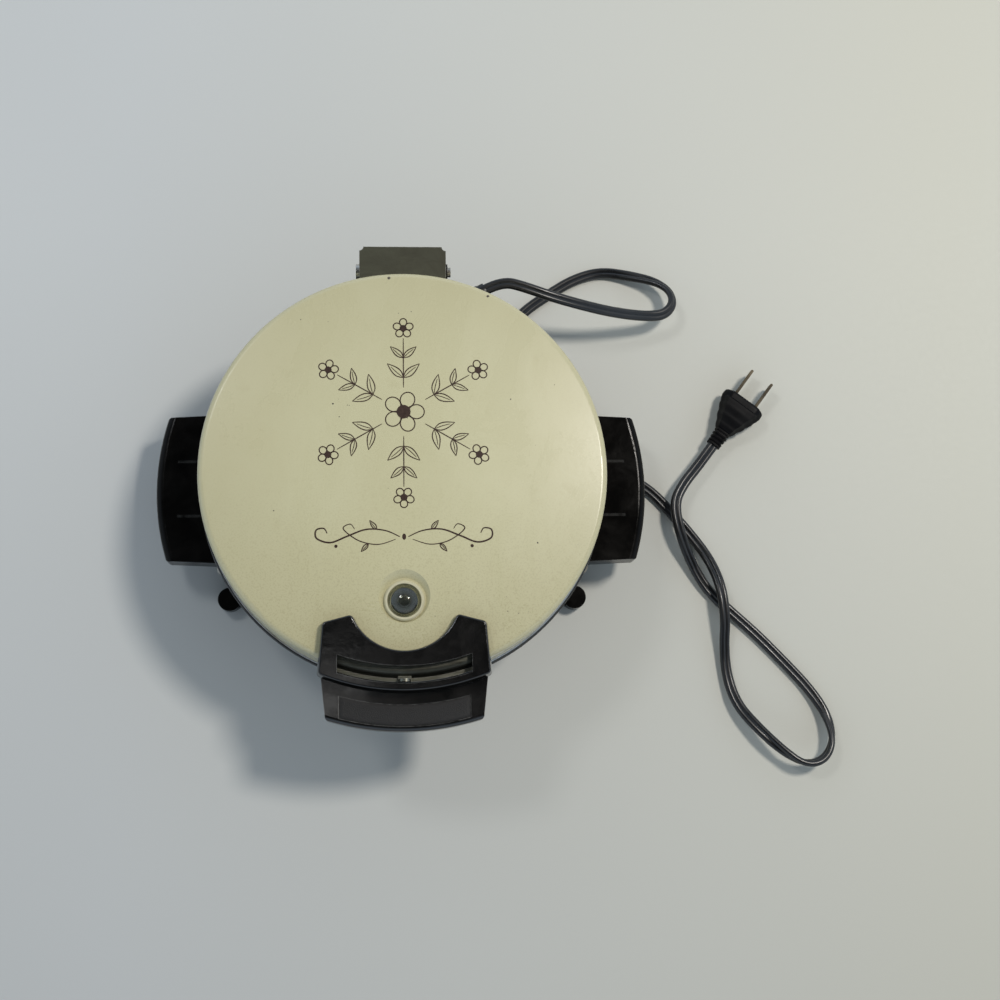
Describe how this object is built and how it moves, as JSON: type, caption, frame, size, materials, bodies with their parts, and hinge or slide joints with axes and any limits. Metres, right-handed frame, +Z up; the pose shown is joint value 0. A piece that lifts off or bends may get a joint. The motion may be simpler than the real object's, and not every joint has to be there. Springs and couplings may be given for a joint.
{
  "type": "waffle maker",
  "caption": "Round Belgian waffle maker: domed lid on a floating rear hinge, cast grids, phenolic front grip and side handles, signal jewel, toed feet and a flat twin cord with plug.",
  "frame": {"origin": "centre of the appliance's box on the surface it stands on, cord and plug left out", "axes": "+Z up, +Y towards the hinge, -Y towards the front grip, +X to the right seen from the front"},
  "size_m": [0.3509, 0.2712, 0.0882],
  "materials": {
    "lid_paint": "semi-gloss baked enamel, almond",
    "chrome_rim": "polished, slightly tarnished",
    "base_enamel": "black gloss enamel",
    "phenolic": "glossy black phenolic",
    "hinge_steel": "dull plated steel",
    "cover_steel": "plain sheet",
    "pin_steel": "plated",
    "dark_spring_steel": "black oxide",
    "screw_steel": "plated",
    "cast_grid": "cast, seasoned",
    "heater_sheath": "oxidised",
    "ceramic": "unglazed",
    "reflector_sheet": "bright",
    "thermostat_metal": "plated",
    "cord_rubber": "smooth moulded",
    "plug_rubber": "moulded",
    "blade_brass": "nickelled brass, worn",
    "grommet_rubber": "matt",
    "jewel_glass": "clear",
    "jewel_ring": "same enamel as the lid",
    "lamp_glass": "neon lamp"
  },
  "bodies": {
    "base": {"base_lead_grommet": "grommet_rubber", "base_ring": "base_enamel", "base_shell": "base_enamel", "bottom_cover": "cover_steel", "bottom_cover_screws": "screw_steel", "cord_strain_relief": "cord_rubber", "foot_screws": "screw_steel", "front_left_foot": "phenolic", "front_right_foot": "phenolic", "handle_bracket_rivets": "screw_steel", "hinge_base_bracket": "hinge_steel", "hinge_base_screws": "screw_steel", "left_handle": "phenolic", "left_handle_bracket": "hinge_steel", "lower_element_clips": "ceramic", "lower_grid": "cast_grid", "lower_grid_screws": "screw_steel", "lower_heating_element": "heater_sheath", "lower_reflector": "reflector_sheet", "plug_blades": "blade_brass", "plug_body": "plug_rubber", "power_cord": "cord_rubber", "rear_left_foot": "phenolic", "rear_right_foot": "phenolic", "right_handle": "phenolic", "right_handle_bracket": "hinge_steel", "side_handle_screws": "screw_steel", "supply_leads": "cord_rubber", "terminal_block": "ceramic", "thermostat": "thermostat_metal"},
    "hinge_pin": {"hinge_pin": "pin_steel", "hinge_pin_clip": "dark_spring_steel"},
    "lid": {"lid_shell": "lid_paint", "lid_rim": "chrome_rim", "upper_grid": "cast_grid", "upper_grid_screws": "screw_steel", "upper_heating_element": "heater_sheath", "upper_element_clips": "ceramic", "upper_reflector": "reflector_sheet", "jewel_lens": "jewel_glass", "jewel_retainer": "jewel_ring", "signal_lamp": "lamp_glass", "lamp_holder": "screw_steel", "front_handle_bezel": "phenolic", "front_handle_bracket": "hinge_steel", "front_handle_grip": "phenolic", "grip_screws": "screw_steel", "bezel_screws": "screw_steel", "lid_hinge_bracket": "hinge_steel", "lid_hinge_screws": "screw_steel", "lid_lead_grommet": "grommet_rubber"}
  },
  "joints": [
    {"name": "hinge_float", "type": "slide", "parent": "base", "child": "hinge_pin", "axis": [0, 0, 1], "range_m": [0, 0.004]},
    {"name": "lid_hinge", "type": "hinge", "parent": "hinge_pin", "child": "lid", "pos_m": [0, 0.1135, 0.05], "axis": [-1, 0, 0], "range_deg": [0, 100]}
  ]
}
